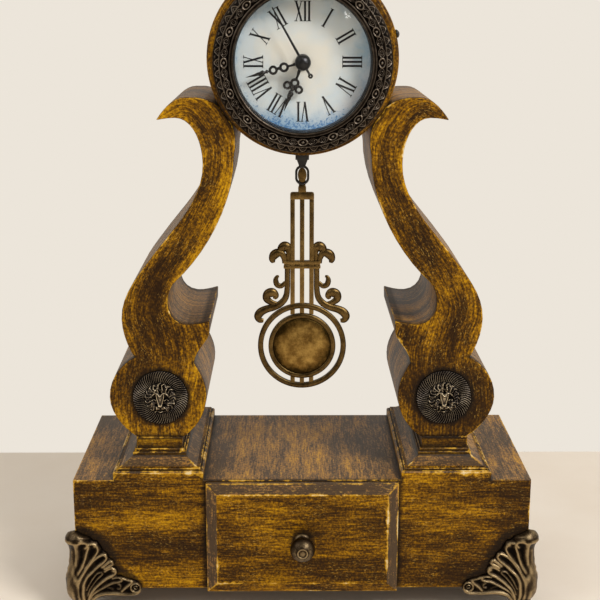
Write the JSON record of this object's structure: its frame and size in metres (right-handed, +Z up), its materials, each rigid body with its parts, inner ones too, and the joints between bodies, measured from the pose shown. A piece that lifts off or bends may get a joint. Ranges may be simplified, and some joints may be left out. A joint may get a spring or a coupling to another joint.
{
  "type": "table clock",
  "caption": "Drum clock with a pendulum, held between two lyre scrolls on a box base with a drawer and scrolled corner feet.",
  "frame": {"origin": "on the surface that the feet stand on, under the middle of the whole clock's bounding box with the drawer shut", "axes": "+Z up; the dial and the drawer front face -Y; +X is to the right of someone who looks at the dial"},
  "size_m": [0.3164, 0.163, 0.4237],
  "materials": {
    "painted_wood": "ochre yellow paint rubbed over with a dark brown glaze, worn at the edges",
    "plain_wood": "stained brown wood",
    "bronze": "cast metal in dark antique bronze with brass highlights",
    "brass": "antique brass",
    "black_metal": "black painted metal",
    "steel": "plain steel",
    "black_plastic": "black plastic",
    "white_plastic": "white plastic",
    "glass": "clear domed glass",
    "dial_print": "cream and pale blue mottled print with black numerals",
    "battery_shell": "plain printed shell",
    "board": "green lacquered board",
    "copper": "enamelled copper wire"
  },
  "bodies": {
    "clock": {"base_top_board": "painted_wood", "base_bottom_board": "plain_wood", "base_side_left": "painted_wood", "base_side_right": "painted_wood", "base_back_board": "plain_wood", "base_front_left": "painted_wood", "base_front_right": "painted_wood", "drawer_divider_left": "plain_wood", "drawer_divider_right": "plain_wood", "pedestal_left": "painted_wood", "pedestal_right": "painted_wood", "lyre_left": "painted_wood", "lyre_right": "painted_wood", "medallion_left": "bronze", "medallion_right": "bronze", "lyre_screws": "steel", "drum_screws": "steel", "foot_front_left": "bronze", "foot_front_right": "bronze", "foot_back_left": "bronze", "foot_back_right": "bronze", "foot_screws": "steel", "drum_case": "painted_wood", "drum_back_cover": "plain_wood", "back_cover_screws": "steel", "bezel": "bronze", "bezel_side_screw": "black_metal", "glass": "glass", "glass_ring": "black_plastic", "dial": "dial_print", "dial_board": "plain_wood", "movement_case": "black_plastic", "movement_cover": "black_plastic", "battery": "battery_shell", "battery_contacts": "steel", "circuit_board": "board", "drive_coils": "copper", "mounting_nut": "brass"},
    "drawer": {"drawer_front": "painted_wood", "drawer_sides": "plain_wood", "drawer_back": "plain_wood", "drawer_bottom": "plain_wood", "drawer_knob": "bronze", "knob_screw": "steel"},
    "pendulum": {"pendulum_hanger": "black_plastic", "pendulum_magnet": "steel", "pendulum_frame": "brass", "pendulum_bob": "brass"},
    "seconds": {"second_arbor": "steel", "second_hand": "black_metal"},
    "step_gear": {"step_wheel": "white_plastic"},
    "rotor_gear": {"rotor": "steel"},
    "third_gear": {"third_wheel": "white_plastic"},
    "centre_gear": {"centre_wheel": "white_plastic"},
    "minutes": {"minute_tube": "brass", "minute_hand": "black_metal"},
    "motion_gear": {"motion_wheel": "white_plastic"},
    "setting_knob": {"set_knob": "black_plastic"},
    "hours": {"hour_wheel": "white_plastic", "hour_hand": "black_metal"}
  },
  "joints": [
    {"name": "drawer_slide", "type": "slide", "parent": "clock", "child": "drawer", "axis": [0, -1, 0], "range_m": [0, 0.08]},
    {"name": "pendulum_swing", "type": "hinge", "parent": "clock", "child": "pendulum", "pos_m": [0, -0.01325, 0.3809], "axis": [0, 1, 0], "range_deg": [-5, 5]},
    {"name": "second_hand_turn", "type": "hinge", "parent": "clock", "child": "seconds", "pos_m": [0, -0.02395, 0.3629], "axis": [0, 1, 0], "continuous": true},
    {"name": "step_wheel_turn", "type": "hinge", "parent": "clock", "child": "step_gear", "pos_m": [0.00326, -0.02395, 0.37505], "axis": [0, 1, 0], "continuous": true},
    {"name": "rotor_turn", "type": "hinge", "parent": "clock", "child": "rotor_gear", "pos_m": [0.00889, -0.02395, 0.3771], "axis": [0, 1, 0], "continuous": true},
    {"name": "third_wheel_turn", "type": "hinge", "parent": "clock", "child": "third_gear", "pos_m": [-0.01189, -0.02395, 0.36795], "axis": [0, 1, 0], "continuous": true},
    {"name": "centre_wheel_turn", "type": "hinge", "parent": "clock", "child": "centre_gear", "pos_m": [0, -0.02395, 0.3629], "axis": [0, 1, 0], "continuous": true},
    {"name": "minute_hand_turn", "type": "hinge", "parent": "clock", "child": "minutes", "pos_m": [0, -0.02395, 0.3629], "axis": [0, 1, 0], "continuous": true},
    {"name": "motion_wheel_turn", "type": "hinge", "parent": "clock", "child": "motion_gear", "pos_m": [0.00902, -0.02395, 0.36618], "axis": [0, 1, 0], "continuous": true},
    {"name": "set_knob_turn", "type": "hinge", "parent": "clock", "child": "setting_knob", "pos_m": [0.01804, -0.02395, 0.36947], "axis": [0, 1, 0], "continuous": true},
    {"name": "hour_hand_turn", "type": "hinge", "parent": "clock", "child": "hours", "pos_m": [0, -0.02395, 0.3629], "axis": [0, 1, 0], "continuous": true}
  ],
  "couplings": [
    {"joint": "step_wheel_turn", "follows": "second_hand_turn", "ratio": -7.5},
    {"joint": "rotor_turn", "follows": "second_hand_turn", "ratio": 30},
    {"joint": "third_wheel_turn", "follows": "second_hand_turn", "ratio": -0.125},
    {"joint": "centre_wheel_turn", "follows": "second_hand_turn", "ratio": 0.016667},
    {"joint": "motion_wheel_turn", "follows": "minute_hand_turn", "ratio": -0.33333},
    {"joint": "set_knob_turn", "follows": "minute_hand_turn", "ratio": 1},
    {"joint": "hour_hand_turn", "follows": "minute_hand_turn", "ratio": 0.083333}
  ]
}
